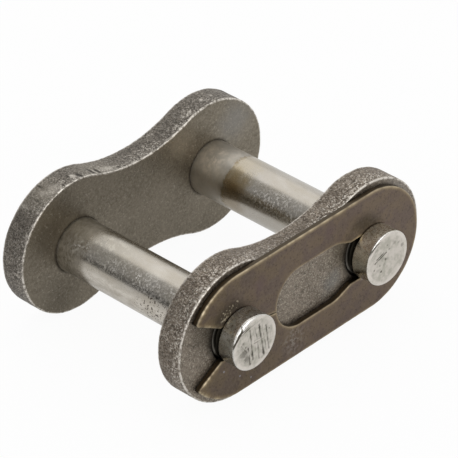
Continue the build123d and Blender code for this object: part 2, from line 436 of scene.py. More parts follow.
def pin(name, node, cx, seed, bevel, bevel_turn, scratches, pits, dark_sliver, material):
    """A turned pin: scratched free end, rounded most at one side, clip groove, ground shank, riveted end."""
    free_end, rivet_end = PIN_Y
    cover_face, rear_face = COVER_Y[0], REAR_Y[1]
    shoulder = cover_face - GROOVE_SHOULDER
    groove_wall = cover_face + GROOVE_INSET
    flare = PIN_R + RIVET_FLARE
    shank_start, shank_end = groove_wall + 0.2, rear_face - RIVET_FLARE
    profile = [
        (PIN_R, shoulder - SUPPORT), (PIN_R, shoulder - CRISP), (PIN_R - CRISP, shoulder),
        (PIN_R - SUPPORT, shoulder), (GROOVE_R + CRISP, shoulder), (GROOVE_R, shoulder + CRISP),
        (GROOVE_R, groove_wall - CRISP), (GROOVE_R + CRISP, groove_wall), (PIN_R - CRISP, groove_wall),
        (PIN_R, groove_wall + CRISP),
        *((PIN_R, y) for y in np.linspace(shank_start, shank_end, SHANK_STEPS + 1)),
        (flare, rear_face), (flare - 0.06, rear_face + 0.1), (flare - RIVET_BROW, rear_face + RIVET_BROW),
        (RIVET_FLAT_R + 0.6, rivet_end - 0.08), (RIVET_FLAT_R, rivet_end),
    ]
    shape = Shape("head", "brow", "mark")

    def facing(t):
        return max(0.0, cos(t - radians(bevel_turn))) ** 4

    def rounding(t):
        return HEAD_ROUND * (0.45 + bevel * facing(t))

    def end_vertex(t, r, y, **masks):
        x, z = r * cos(t), r * sin(t)
        mark = painted_sliver(dark_sliver, x, z)
        return shape.add(cx + x, y + SLIVER_DEPTH * mark, z, mark=mark, **masks)

    rings = [[end_vertex(t, PIN_R - rounding(t) - 0.06, free_end, head=1.0) for t in TURNS]]
    for k in range(ROUND_STEPS + 1):
        a = radians(90 * k / ROUND_STEPS)
        inward, back = 1 - sin(a), 1 - cos(a)
        # Polish all round the rounded edge, and a painted highlight where it faces the front light.
        head, brow = float(k < 4), 0.3 * (k < 10)
        rings.append([end_vertex(t, PIN_R - rounding(t) * inward, free_end + rounding(t) * back,
                                 head=head, brow=max(brow, facing(t))) for t in TURNS])
    rings.append([shape.add(cx + PIN_R * cos(t), free_end + rounding(t) + 0.03 + 0.25 * facing(t),
                            PIN_R * sin(t)) for t in TURNS])
    rings += [shape.circle(cx, y, r, TURNS) for r, y in profile]
    shape.skin(rings)

    def free_face(x, z):
        u = x - cx
        mark = painted_sliver(dark_sliver, u, z)
        for x0, z0, x1, z1, half_width, depth in scratches:
            ragged = half_width * (1 + 0.6 * wobble(seed, u, x0, z, 0.3))
            faint = depth * (0.8 + 0.5 * wobble(seed + 2, u, x1, z, 0.8))
            mark = max(mark, faint * max(0.0, 1 - to_segment(u, z, x0, z0, x1, z1)[0] / (1.7 * ragged)))
        for px, pz, radius, depth in pits:
            ragged = radius * (1 + 0.5 * wobble(seed + 1, u, px, z, 0.25))
            mark = max(mark, depth * unit(1.4 - hypot(u - px, z - pz) / ragged))
        return shape.add(x, free_end + SCRATCH_DEPTH * mark, z, head=1.0, mark=mark)

    shape.cap([rings[0]], END_SPACING[0], free_face)
    shape.cap([rings[-1]], END_SPACING[1], lambda x, z: shape.add(x, rivet_end, z))
    shape.build(name, material, "pin_link", "pin_steel", node)


# -------- spring clip

CLIP_HALF = 9.25
CLIP_RIGHT = 25.25
NOTCH_R = 3.31
SLOT_HALF = 4.475
SLOT_LEFT_CENTRE = 11.525
SLOT_SHOULDER = 18.4
SLOT_NECK = 21.35
SHOULDER_ROUND = 5.0
NECK_ROUND = 0.5
SLIT_HALF = 0.06
SLIT_ANGLE = -10
SLIT_MIDDLE = 5.18
THROAT_HALF = 2.6
THROAT_X = -3.3
MOUTH_ANGLE = 30
THROAT_ROUND = 0.3
TIP_ROUND = 0.45
CLIP_STEP = 0.2                   # between the outline's points
CLIP_ROUND = 0.11                 # mean rounding of the front edge
CLIP_BURR = 0.04                  # rounding of the back edge
CLIP_SPACING = (0.26, 0.7)        # between points on the front and the back


def turn_of(v):
    """A direction's angle, in degrees."""
    return degrees(atan2(v.y, v.x))


def towards(angle):
    """The direction at an angle in degrees."""
    return Vector((cos(radians(angle)), sin(radians(angle))))


def corner(p, q, s, r, step):
    """The arc that rounds corner q of the run p, q, s; returns its points and where it starts and ends."""
    p, q, s = Vector(p), Vector(q), Vector(s)
    a, b = (p - q).normalized(), (s - q).normalized()
    half = a.angle(b) / 2
    reach = r / tan(half)
    c = q + (a + b).normalized() * (r / sin(half))
    start, end = q + a * reach, q + b * reach
    swing = (turn_of(end - c) - turn_of(start - c) + 180) % 360 - 180
    a0 = turn_of(start - c)
    return arc(c.x, c.y, r, a0, a0 + swing, step), start, end


def meeting(start, direction, r, sign=1):
    """Where a line meets a circle round the origin."""
    middle = -start.dot(direction)
    return start + direction * (middle + sign * sqrt(middle**2 - start.length_squared + r * r))


def slit_end(side, centre, r, sign):
    """Where a leg's wall of the slit meets a circle on the centre line, mirrored for side -1."""
    wall = Vector((SLIT_MIDDLE - centre, 0)) + towards(SLIT_ANGLE + 90) * SLIT_HALF * side
    x, z = meeting(wall, towards(SLIT_ANGLE), r, sign)
    return Vector((x + centre, side * z))


def leg(side, step):
    """One leg's outline for side +1, from the closed end's middle to the slot's end; mirrored for -1."""
    throat = Vector((THROAT_X, THROAT_HALF))
    flank = towards(180 - MOUTH_ANGLE)
    into_leg = towards(90 - MOUTH_ANGLE) * TIP_ROUND
    tip = meeting(throat + into_leg, flank, CLIP_HALF - TIP_ROUND)
    notch_start = Vector((-sqrt(NOTCH_R**2 - THROAT_HALF**2), THROAT_HALF))
    lip = slit_end(side, 0, NOTCH_R, 1)
    far = slit_end(side, SLOT_LEFT_CENTRE, SLOT_HALF, -1)
    slot_turn = turn_of(far - Vector((SLOT_LEFT_CENTRE, 0))) % 360
    a, b = (SLOT_LEFT_CENTRE, SLOT_HALF), (SLOT_SHOULDER, SLOT_HALF)
    c, d = (SLOT_NECK, NOTCH_R), (PITCH, NOTCH_R)
    bend, bend_start, bend_end = corner(tip - into_leg, throat, notch_start, THROAT_ROUND, step / 3)
    shoulder, shoulder_start, shoulder_end = corner(a, b, c, SHOULDER_ROUND, step)
    neck, neck_start, neck_end = corner(b, c, d, NECK_ROUND, step / 2)
    points = (
        arc(CLIP_RIGHT, 0, CLIP_HALF, 0, 90, step)
        + line((CLIP_RIGHT, CLIP_HALF), (0, CLIP_HALF), step)
        + arc(0, 0, CLIP_HALF, 90, turn_of(tip), step)
        + arc(tip.x, tip.y, TIP_ROUND, turn_of(tip), 270 - MOUTH_ANGLE, step / 2)
        + line(tip - into_leg, bend_start, step)
        + bend
        + line(bend_end, notch_start, step)
        + arc(0, 0, NOTCH_R, turn_of(notch_start), turn_of(lip), step)
        + line(lip, far, step)
        + arc(SLOT_LEFT_CENTRE, 0, SLOT_HALF, slot_turn, 90, step)
        + line(a, shoulder_start, step)
        + shoulder
        + line(shoulder_end, neck_start, step)
        + neck
        + line(neck_end, d, step)
        + arc(PITCH, 0, NOTCH_R, 90, 0, step)
    )
    return [(x, side * z) for x, z, *_ in points]


def clip_outline(step):
    """The clip's whole outline as one anticlockwise loop, with mitred normals at sharp corners."""
    # The lower leg runs the other way, and both start at the closed end's middle.
    loop = leg(1, step) + [(PITCH + NOTCH_R, 0)] + leg(-1, step)[:0:-1]
    out = []
    for (px, pz), (x, z), (qx, qz) in zip(loop[-1:] + loop, loop, loop[1:] + loop[:1]):
        before = Vector((z - pz, px - x)).normalized()
        after = Vector((qz - z, x - qx)).normalized()
        both = (before + after).normalized()
        both /= max(0.5, both.dot(after))
        out.append((x, z, both.x, both.y))
    return out


def at_tip(x, z):
    """1 at the clip's two tips, falling to 0 along its legs."""
    return unit((-1.0 - x) / 4.0) * unit((abs(z) - THROAT_HALF) / 1.2)


def burnish(x, z):
    """How far the clip's edge is rubbed down to golden temper colour: most at the tips and along the top."""
    tips = at_tip(x, z)
    top = 0.52 * unit((z - 4.0) / 3.5)
    closed_end = 0.4 * unit((x - 26.0) / 4.0) * unit((z + 8.5) / 5.0)
    level = max(0.38, 0.55 * tips, top, closed_end)
    uneven = 0.65 * wobble(41, x, 0, z, 1.4) + (0.4 + 0.8 * tips) * wobble(42, x, 0, z, 0.4)
    return level * max(0.15, 0.85 + uneven)


def spring_clip(material):
    """A flat stamping with a rounded front edge and a square back edge."""
    shape = Shape("wear", "wall", "halo")
    outline = clip_outline(CLIP_STEP)
    outer = np.array([(x, z) for x, z, _, _ in outline])
    y0, y1 = CLIP_Y

    def row(place):
        """A row round the outline; place(rounding, burnish) gives a point's inset, y and masks."""
        made = []
        for x, z, nx, nz in outline:
            r = CLIP_ROUND * (1 + 0.35 * wobble(31, x, 0, z, 1.1) + 0.5 * at_tip(x, z))
            inset, y, masks = place(r, burnish(x, z))
            made.append(shape.add(x - nx * inset, y, z - nz * inset, **masks))
        return made

    rings = [row(lambda r, gold: (r + 0.1, y0, dict(wear=0.4 * gold, halo=gold)))]
    for a in np.radians(np.linspace(0, 90, 5)):
        rings.append(row(lambda r, gold: (
            r * (1 - sin(a)), y0 + r * (1 - cos(a)), dict(wear=gold, halo=gold, wall=sin(a) ** 4))))
    for t in (0.15, 0.4, 0.7, 1.0):
        rings.append(row(lambda r, gold: (0, (y0 + r) * (1 - t) + (y1 - CLIP_BURR) * t, dict(wall=1.0))))
    rings.append(row(lambda r, gold: (0.03, y1, dict(wall=1.0))))
    rings.append(row(lambda r, gold: (0.15, y1, {})))
    shape.skin(rings)

    def front(x, z):
        gap = np.hypot(outer[:, 0] - x, outer[:, 1] - z).min()
        near = unit(1 - (gap - 0.2) / (0.25 + 0.8 * at_tip(x, z)))
        return shape.add(x, y0, z, halo=burnish(x, z) * near**1.5)

    shape.cap([rings[0]], CLIP_SPACING[0], front)
    shape.cap([rings[-1]], CLIP_SPACING[1], lambda x, z: shape.add(x, y1, z))
    shape.build("clip_stamping", material, "clip", "clip_steel", "spring_clip")


# -------- materials

# Near-black for grime and for painted shade in corners and in the pins' clip groove.
GRIME_AND_SHADE_DARK = (0.022, 0.019, 0.013)


class Graph:
    """A short way to write the nodes of a material or of the world."""

    def __init__(self, owner):
        owner.use_nodes = True
        self.owner = owner
        self.tree = owner.node_tree
        self.tree.nodes.clear()

    def make(self, kind, **settings):
        node = self.tree.nodes.new(kind)
        for key, value in settings.items():
            setattr(node, key, value)
        return node

    def put(self, value, socket):
        if isinstance(value, bpy.types.NodeSocket):
            self.tree.links.new(value, socket)
        else:
            socket.default_value = value

    def fill(self, node, values):
        """Puts values into a node's inputs, by number or name."""
        for key, value in values.items():
            self.put(value, node.inputs[key])
        return node

    def math(self, operation, *values):
        return self.fill(self.make("ShaderNodeMath", operation=operation), dict(enumerate(values))).outputs[0]

    def fold(self, operation, values):
        total = values[0]
        for value in values[1:]:
            total = self.math(operation, total, value)
        return total

    def times(self, *factors):
        return self.fold("MULTIPLY", factors)

    def most(self, *values):
        return self.fold("MAXIMUM", values)

    def rest(self, value):
        return self.math("SUBTRACT", 1.0, value)

    def apart(self, a, b):
        return self.math("ABSOLUTE", self.math("SUBTRACT", a, b))

    def span(self, value, low, high, start=0.0, end=1.0):
        """Smooth step from start to end as the value goes from low to high."""
        node = self.make("ShaderNodeMapRange", interpolation_type="SMOOTHSTEP")
        names = ("Value", "From Min", "From Max", "To Min", "To Max")
        return self.fill(node, dict(zip(names, (value, low, high, start, end)))).outputs["Result"]

    def mask(self, name):
        return self.make("ShaderNodeAttribute", attribute_name=name).outputs["Fac"]

    def blend(self, fac, a, b):
        """Number between a and b."""
        return self.fill(self.make("ShaderNodeMix", data_type="FLOAT"), {0: fac, 2: a, 3: b}).outputs[0]

    def mix(self, fac, a, b):
        """Colour between a and b."""
        a, b = ((*c, 1) if isinstance(c, tuple) else c for c in (a, b))
        return self.fill(self.make("ShaderNodeMix", data_type="RGBA"), {0: fac, 6: a, 7: b}).outputs[2]

    def coats(self, colour, *layers):
        """The colour under layers, each of them its own colour and the factors of its strength."""
        for new, *factors in layers:
            colour = self.mix(self.times(*factors), colour, new)
        return colour


class Steel(Graph):
    """A bare steel. Its coordinates are the object's, in millimetres."""

    def __init__(self, name, seed):
        super().__init__(bpy.data.materials.new(name))
        place = self.make("ShaderNodeTexCoord").outputs["Object"]
        self.mm = self.vector("SCALE", {0: place, "Scale": 1 / MM})
        self.field = self.vector("ADD", {0: self.mm, 1: (13.7 * seed, -7.1 * seed, 3.9 * seed)})

    def vector(self, operation, values, output=0):
        return self.fill(self.make("ShaderNodeVectorMath", operation=operation), values).outputs[output]

    def noise(self, size, detail=3.0, rough=0.55, stretch=(1, 1, 1)):
        """Noise of that feature size in millimetres, 0 to 1; a stretch above 1 draws it out that way."""
        place = self.vector("MULTIPLY", {0: self.field, 1: tuple(1 / s for s in stretch)})
        values = {"Vector": place, "Scale": 1 / size, "Detail": detail, "Roughness": rough}
        return self.fill(self.make("ShaderNodeTexNoise"), values).outputs["Fac"]

    def shaken(self, value, reach, *kind):
        """The value, moved by noise of that kind over a reach with the value at its middle."""
        return self.math("ADD", value, self.times(self.math("SUBTRACT", self.noise(*kind), 0.5), reach))

    def axis(self, name):
        return self.fill(self.make("ShaderNodeSeparateXYZ"), {0: self.mm}).outputs[name]

    def spot(self, x, y, z, radius, ragged):
        """1 at a point, falling to 0 at the radius, with an uneven edge."""
        gap = self.vector("DISTANCE", {0: self.mm, 1: (x, y, z)}, "Value")
        return self.span(self.shaken(gap, 2 * ragged, 0.5 * radius), radius, 0.0)

    def from_line(self, x, z=0.0):
        """Distance from a line along Y, such as a pin's axis."""
        flat = self.vector("MULTIPLY", {0: self.mm, 1: (1, 0, 1)})
        return self.vector("DISTANCE", {0: flat, 1: (x, 0, z)}, "Value")

    def from_pins(self):
        """Distance from the nearer pin's axis."""
        return self.math("MINIMUM", self.from_line(0), self.from_line(PITCH))

    def finish(self, colour, rough, height, depth):
        """Ends the material; the height is a bump of that depth in millimetres."""
        bump = {"Distance": depth * MM, "Height": height}
        normal = self.fill(self.make("ShaderNodeBump"), bump).outputs[0]
        steel = {"Metallic": 1.0, "Base Color": colour, "Roughness": rough, "Normal": normal}
        shader = self.fill(self.make("ShaderNodeBsdfPrincipled"), steel)
        self.fill(self.make("ShaderNodeOutputMaterial"), {0: shader.outputs[0]})
        return self.owner


def plate_face(g, front_y, grain, dark, light, grime_and_shade_reach, painted_gap_shade, stain, tint_and_shade_colour):
    """Dull mottled face, with grime and painted shade round the pins, painted shade beside them and in each
    hole's gap round its pin.
    """
    # The spot: a bluish tint on the cover; on the rear plate painted shade, darker towards the bottom-left
    # lobe.
    x, z, radius = stain
    # Painted shade: the face darker beside each pin, where the pin shades it.
    shade_near_pins = g.most(g.spot(-4.0, front_y, 4.4, 6.8, 1.0), g.spot(PITCH - 2.6, front_y, 3.0, 5.0, 1.0))
    # Grime and painted corner shade round each pin's foot.
    grime_and_shade = g.times(g.span(g.from_pins(), grime_and_shade_reach, 4.0), g.span(g.noise(0.7), 0.2, 0.55, 0.6, 1.0))
    mouth_r, gap_r = HOLE_R + HOLE_CHAMFER + 0.06, HOLE_R + 0.6 * HOLE_CHAMFER
    return g.coats(
        g.mix(g.span(g.noise(0.5, 4, 0.65), 0.3, 0.7), dark, light),
        (light, g.span(g.noise(5.0, 3), 0.4, 0.62), 0.5),
        ((0.52, 0.48, 0.4), g.span(g.noise(0.24, 2, 0.5), 0.52, 0.66), grain),
        ((0.06, 0.052, 0.042), g.span(g.noise(0.3, 2, 0.5), 0.46, 0.34), 0.8 * grain),
        (tint_and_shade_colour, g.spot(x, front_y, z, radius, 1.5), 0.35),
        # painted shade beside the pins
        ((0.06, 0.048, 0.034), shade_near_pins, 0.6),
        ((0.235, 0.235, 0.232), g.spot(30.5, front_y, 5.2, 5.0, 1.5), 0.5),
        ((0.42, 0.38, 0.32), g.span(g.noise(0.33, 2, 0.5), 0.63, 0.68), 0.35),
        # grime with painted shade round the pins
        (GRIME_AND_SHADE_DARK, grime_and_shade, 0.7),
        # Painted shade in the gap between each hole's mouth and its pin.
        ((0.016, 0.014, 0.011), g.span(g.from_pins(), mouth_r, gap_r, 0.0, painted_gap_shade)),
    )


def plate_rim(g, front_y, fine, dark, light, fleck):
    """Dark pitted rim with bright flecks; returns its colour and where the flecks are."""
    knock = g.mask("knock")
    patches = g.noise(2.4, 3)
    # Lighter patches on top of the rear plate's rim.
    lighter_top_patches = g.most(g.spot(-4.0, REAR_Y[0] + 1.9, 8.8, 4.2, 1.2),
                    g.times(g.spot(5.5, REAR_Y[0] + 1.6, 8.6, 6.0, 1.2), 0.8))
    near_front = g.span(g.math("SUBTRACT", g.axis("Y"), front_y), 2.6, 0.2, 0.45, 1.0)
    flecks = g.times(g.span(g.noise(0.33, 3, 0.6), 0.46, 0.56), g.span(g.noise(0.19, 2, 0.5), 0.48, 0.57),
                     g.span(patches, 0.38, 0.58, 0.5, 1.0), near_front)
    rim = g.coats(
        g.mix(g.span(g.noise(0.25, 4, 0.75, (1, 1.3, 1)), 0.38, 0.62), dark, light),
        (tuple(0.5 * c for c in dark), g.mask("pit"), 0.6),
        (dark, g.span(patches, 0.35, 0.65, 0.25, 0.0)),
        ((0.33, 0.3, 0.245), lighter_top_patches, 0.45),
        ((0.72, 0.675, 0.6), flecks, fleck),
        ((0.6, 0.56, 0.5), g.most(knock, 0.0), g.span(fine, 0.35, 0.6, 0.45, 1.0)),
        ((0.025, 0.021, 0.017), g.most(g.times(knock, -0.85), 0.0)),
    )
    return rim, flecks


def plate_material(name, seed, front_y, grain, face_looks, rim_looks):
    """Tumbled steel: dull face, pitted rim and thin burnished edges.

    The looks are the last values of plate_face and of plate_rim.
    """
    g = Steel(name, seed)
    on_rim = g.mask("rim")
    fine = g.noise(0.2, 2, 0.6)
    face = plate_face(g, front_y, grain, *face_looks)
    rim, flecks = plate_rim(g, front_y, fine, *rim_looks)
    shine = g.times(g.mask("wear"), g.span(g.noise(0.5, 3, 0.7), 0.36, 0.58, 0.1, 1.0))
    colour = g.coats(face, (rim, on_rim), ((0.66, 0.62, 0.56), shine))
    rough = g.blend(on_rim, g.span(fine, 0.3, 0.7, 0.42, 0.55), g.span(fine, 0.3, 0.7, 0.55, 0.72))
    rough = g.math("SUBTRACT", rough, g.times(g.most(shine, flecks), 0.2))
    height = g.blend(on_rim, g.times(g.noise(0.22, 3, 0.6), grain), g.noise(0.3, 4, 0.7))
    return g.finish(colour, rough, height, 0.06)


def ground_shank(g, y, dull, dull_colour, ring_y, speckle, patchy):
    """Ground steel, dull and smeared near the rear plate, with a faint ring of grease and bright speckles."""
    smears = g.span(g.noise(0.7, 5, 0.75, (1, 0.6, 1)), 0.36, 0.62)
    grain = g.span(g.noise(1.6, 4, 0.6, (1, 2.5, 1)), 0.3, 0.7)
    return g.coats(
        g.mix(grain, (0.4, 0.365, 0.31), (0.455, 0.425, 0.38)),
        (g.mix(smears, tuple(0.8 * c for c in dull_colour), (0.55, 0.515, 0.45)), dull, 0.85),
        ((0.12, 0.095, 0.06), g.span(g.apart(y, ring_y), 0.22, 0.06),
         g.span(g.noise(1.2), 0.35, 0.6, 0.0, 0.25)),
        ((0.2, 0.185, 0.16), g.span(speckle, 0.45, 0.36), patchy, 0.7),
        ((0.74, 0.72, 0.68), g.span(speckle, 0.53, 0.6), patchy, 0.85),
    )


def head_side(g, colour, outer, side, side_pale_and_highlight, highlight_spot):
    """The side of a pin's head, outside the clip: mottled, with lighter patches and a painted highlight
    patch.
    """
    clouds = g.times(g.span(g.noise(2.2, 2), 0.42, 0.62), 0.4)
    return g.coats(
        colour,
        (side, outer, 0.95),
        (tuple(0.55 * c for c in side), outer, g.span(g.noise(0.5, 4, 0.7), 0.55, 0.42), 0.45),
        # Lighter cloudy patches, and a painted highlight patch on the side.
        (side_pale_and_highlight, outer, g.most(clouds, g.spot(*highlight_spot, 0.6))),
    )


def free_end(g, colour, from_axis, head, brow, clouds):
    """A pin's bare free end: cloudy face, lighter uneven border and a bright rounded edge, polished and
    painted brighter as a highlight where it faces the front light.
    """
    edge_r = PIN_R - HEAD_ROUND
    border = g.times(g.span(from_axis, edge_r - 0.55, edge_r - 0.1), g.span(g.noise(1.1), 0.3, 0.6, 0.4, 1.0))
    end = g.mix(g.span(clouds, 0.36, 0.62), (0.455, 0.435, 0.375), (0.62, 0.58, 0.525))
    end = g.coats(end, ((0.73, 0.685, 0.625), border, 0.85))
    rounded = g.mix(g.span(g.noise(0.3, 3, 0.6), 0.42, 0.56), (0.52, 0.5, 0.47), (0.78, 0.765, 0.74))
    # Scratches, pits and the painted dark sliver, a dark reflection painted into the rounded edge.
    marks = ((0.085, 0.078, 0.06), g.span(g.mask("mark"), 0.12, 0.7))
    # the rounded edge, polished and painted bright as a highlight
    return g.coats(colour, (end, g.most(brow, head)), (rounded, brow), marks)


def pin_material(name, seed, cx, dull_from, dull_colour, ring_y, band, spot, stains, side_looks):
    """Ground shank that is dull near the pressed-in end, dark groove with grease and painted shade, and a
    bare scratched free end.

    The side looks are the last values of head_side.
    """
    g = Steel(name, seed)
    head, brow = g.mask("head"), g.mask("brow")
    y, from_axis = g.axis("Y"), g.from_line(cx)
    dull = g.span(g.shaken(y, 1.2, 2.0), *dull_from)
    speckle = g.noise(0.34, 3, 0.6)
    clouds = g.noise(0.9, 4, 0.6)
    band_x, band_z, reach, start, end = band
    in_band = g.times(g.span(g.from_line(cx + band_x, band_z), reach, 0.0), g.span(y, start - 1, start + 1),
                      g.span(y, end + 1, end - 1), g.span(g.noise(1.5), 0.36, 0.6, 0.35, 1.0))
    patchy = g.most(in_band, g.times(g.spot(*spot, 0.8), 0.7))
    outer = g.span(y, CLIP_Y[0] + 0.12, CLIP_Y[0] - 0.12)
    at_clip = g.times(g.span(y, COVER_Y[0] + 0.5, COVER_Y[0]), g.span(y, CLIP_Y[0] - 0.15, CLIP_Y[0] + 0.05))
    in_groove = g.times(g.most(g.span(from_axis, PIN_R - 0.06, PIN_R - 0.3), at_clip),
                        g.span(y, REAR_Y[0], COVER_Y[0]), g.rest(head))
    riveted = g.span(y, REAR_Y[1] + 0.1, REAR_Y[1] + 0.4)

    colour = stains(g, y, g.axis("Z"), ground_shank(g, y, dull, dull_colour, ring_y, speckle, patchy))
    colour = g.coats(
        head_side(g, colour, outer, *side_looks),
        # Grease and painted shade in the clip groove, under the clip.
        (GRIME_AND_SHADE_DARK, in_groove, 0.98),
        ((0.27, 0.25, 0.215), riveted, g.span(g.noise(0.7, 5, 0.65), 0.4, 0.62), 0.7),
    )
    colour = free_end(g, colour, from_axis, head, brow, clouds)

    rough = g.blend(dull, g.span(speckle, 0.3, 0.7, 0.2, 0.28), 0.4)
    rough = g.blend(g.times(g.span(speckle, 0.5, 0.57), patchy), rough, 0.62)
    rough = g.blend(g.most(in_groove, g.times(head, g.rest(brow))), rough, 0.42)
    side_rough = g.span(g.noise(0.45, 4, 0.7), 0.42, 0.58, 0.25, 0.36)
    rough = g.blend(g.times(outer, g.rest(head)), rough, side_rough)
    rough = g.blend(brow, rough, 0.2)
    height = g.blend(head, g.times(speckle, g.most(patchy, riveted), 0.5), g.times(clouds, 0.5))
    return g.finish(colour, rough, height, 0.02)


# Dark specks on the left pin: place and radius.
LEFT_SPECKS = (
    (-1.1, 4.85, 3.8, 0.2), (-3.89, -2.63, 0.8, 0.16), (-3.94, -7.83, 0.47, 0.22), (-3.93, -4.7, 0.54, 0.13),
    (-3.96, -6.2, 0.3, 0.15), (-3.4, -4.5, 2.0, 0.12), (-2.6, -9.5, 3.0, 0.13),
)
LEFT_RING_Y = 10.4
RIGHT_RING_Y = 6.55


def left_stains(g, y, z, shank):
    """Specks, painted shade dimming the top near the rear plate, a streaky painted reflection lightening the
    underside, and fine rust.
    """
    streaks = g.span(g.noise(0.8, 4, 0.65, (1, 2.4, 1)), 0.36, 0.62)
    rusty = g.span(g.most(g.spot(-3.9, -5.6, 0.2, 4.0, 0.5), g.spot(-3.6, -7.2, -1.6, 2.4, 0.5)), 0.0, 0.4)
    return g.coats(
        shank,
        *(((0.03, 0.027, 0.022), g.spot(*place, 0.08), 0.9) for place in LEFT_SPECKS),
        # Painted shade: the top's highlight band dimmed near the rear plate.
        ((0.3, 0.275, 0.23), g.span(y, -3.0, 5.0), g.span(z, 1.8, 3.4), 0.55),
        # Painted reflection: the underside lighter and streaked, as the floor mirrored in it.
        (g.mix(streaks, (0.47, 0.43, 0.37), (0.64, 0.6, 0.535)),
         g.span(z, 1.3, 0.2), g.span(y, 9.6, 7.6), 0.85),
        ((0.52, 0.49, 0.42), g.span(g.noise(0.9, 4, 0.65), 0.5, 0.62), g.span(y, -1.0, 5.0), 0.4),
        ((0.58, 0.55, 0.5), g.spot(-2.0, -4.0, 3.4, 2.6, 0.4), 0.5),
        ((0.06, 0.045, 0.032), rusty, g.span(g.noise(0.27, 1, 0.4), 0.385, 0.335)),
    )


def right_stains(g, y, z, shank):
    """A brown stain in front of the grease ring, a light mottled foot behind it, painted shade dimming the
    top and a painted reflection lightening the underside.
    """
    before_ring = g.span(y, RIGHT_RING_Y + 0.2, RIGHT_RING_Y - 0.2)
    stain = g.times(before_ring, g.span(g.shaken(y, 3.5, 1.5, 4), 1.6, 4.6))
    faded = g.most(g.spot(PITCH - 2.3, 5.4, 3.2, 1.9, 0.6), g.spot(PITCH - 2.6, 3.4, 3.0, 1.6, 0.6))
    at_ring = g.span(g.apart(y, RIGHT_RING_Y), 0.6, 0.1)
    foot = g.times(g.span(y, RIGHT_RING_Y + 0.05, 7.6), g.span(g.noise(0.9, 4, 0.7), 0.38, 0.68))
    deep = g.times(g.spot(PITCH - 3.25, 5.0, 2.2, 2.6, 0.7),
                   g.span(y, RIGHT_RING_Y + 0.2, RIGHT_RING_Y - 0.1))
    return g.coats(
        shank,
        # Painted shade: the top's highlight band dimmed near the rear plate.
        ((0.33, 0.31, 0.275), g.span(y, 0.0, 4.6), g.span(z, 2.8, 3.6), 0.55),
        # Painted reflection: the underside lighter, as the floor mirrored in it.
        ((0.57, 0.54, 0.49), g.span(z, 0.9, -0.1), 0.5),
        ((0.45, 0.38, 0.26), stain, g.span(z, 2.4, 3.4), 0.4),
        ((0.26, 0.2, 0.115), stain, g.span(z, 3.6, 2.2, 0.0, 0.6)),
        ((0.3, 0.235, 0.135), faded, before_ring, 0.75),
        ((0.21, 0.155, 0.075), at_ring, g.span(g.noise(0.6, 4, 0.7), 0.44, 0.58), 0.6),
        ((0.78, 0.7, 0.6), foot, g.most(g.spot(PITCH - 2.2, 10.0, 3.2, 4.2, 0.8), 0.3), 0.75),
        ((0.245, 0.175, 0.085), deep, 0.8),
    )


# Light specks on the clip's face: x, z and radius.
CLIP_SPECKS = ((-3.0, -4.44, 0.24), (-0.1, -6.71, 0.22), (1.93, -8.01, 0.2), (23.46, -3.68, 0.22))


def clip_material():
    """Heat-tempered strip: brown face, redder and lighter towards the closed end, with golden worn edges."""
    g = Steel("tempered_clip_steel", 5)
    fine = g.noise(0.3, 3, 0.6)

    def on_face(x, z, radius, ragged):
        return g.spot(x, CLIP_Y[0], z, radius, ragged)

    clouds = g.span(g.noise(2.6, 4, 0.65), 0.4, 0.6)
    # Painted shade on the clip's face round the heads, where they shade it and darken its reflection.
    shade_near_heads = g.most(on_face(-1.8, 2.4, 4.6, 0.6), on_face(PITCH - 1.8, 2.4, 5.4, 0.6))
    above_head = g.most(on_face(-2.8, 4.1, 1.2, 0.3), on_face(-1.7, 4.5, 1.0, 0.3),
                        on_face(-0.6, 4.9, 1.0, 0.3))
    flecks = g.times(g.span(above_head, 0.05, 0.4), g.span(g.noise(0.3, 1, 0.5), 0.56, 0.62),
                     g.span(g.noise(0.41, 1, 0.5), 0.44, 0.52))
    colour = g.coats(
        g.mix(g.span(g.noise(3.5, 4, 0.6), 0.35, 0.65), (0.111, 0.083, 0.054), (0.143, 0.108, 0.073)),
        ((0.156, 0.116, 0.087), g.span(g.axis("X"), -2.0, 13.0), 0.85),
        (g.mix(clouds, (0.158, 0.116, 0.074), (0.105, 0.076, 0.072)), 0.4),
        # painted shade round the heads
        ((0.046, 0.037, 0.026), g.span(shade_near_heads, 0.0, 0.45), 0.6),
        ((0.19, 0.155, 0.12), g.span(fine, 0.52, 0.68), 0.35),
        ((0.045, 0.035, 0.024), g.span(fine, 0.46, 0.32), 0.5),
        ((0.27, 0.24, 0.205), on_face(10.2, -6.4, 3.2, 1.2), g.span(g.noise(0.6, 4, 0.7), 0.46, 0.6), 0.75),
        *(((0.33, 0.33, 0.36), on_face(*place, 0.08), 0.9) for place in CLIP_SPECKS),
        ((0.46, 0.4, 0.3), flecks, 0.9),
        ((0.115, 0.075, 0.083), g.most(on_face(17.4, 7.2, 1.6, 0.5), on_face(4.0, 5.5, 2.2, 0.8)), 0.4),
        ((0.215, 0.155, 0.078), g.math("MINIMUM", g.times(g.mask("halo"), 1.3), 0.85)),
        ((0.06, 0.045, 0.028), g.mask("wall")),
        ((0.52, 0.435, 0.3), g.math("MINIMUM", g.times(g.mask("wear"), 1.15), 1.0)),
    )
    return g.finish(colour, g.span(fine, 0.3, 0.7, 0.34, 0.46), fine, 0.008)


# -------- the object

cover_steel = plate_material(
    "tumbled_cover_steel", 2, COVER_Y[0], 0.55,
    ((0.15, 0.125, 0.098), (0.265, 0.224, 0.18), 5.5, 0.92, (18.3, -2.2, 3.0), (0.2, 0.225, 0.235)),
    ((0.103, 0.082, 0.064), (0.345, 0.296, 0.24), 0.95))
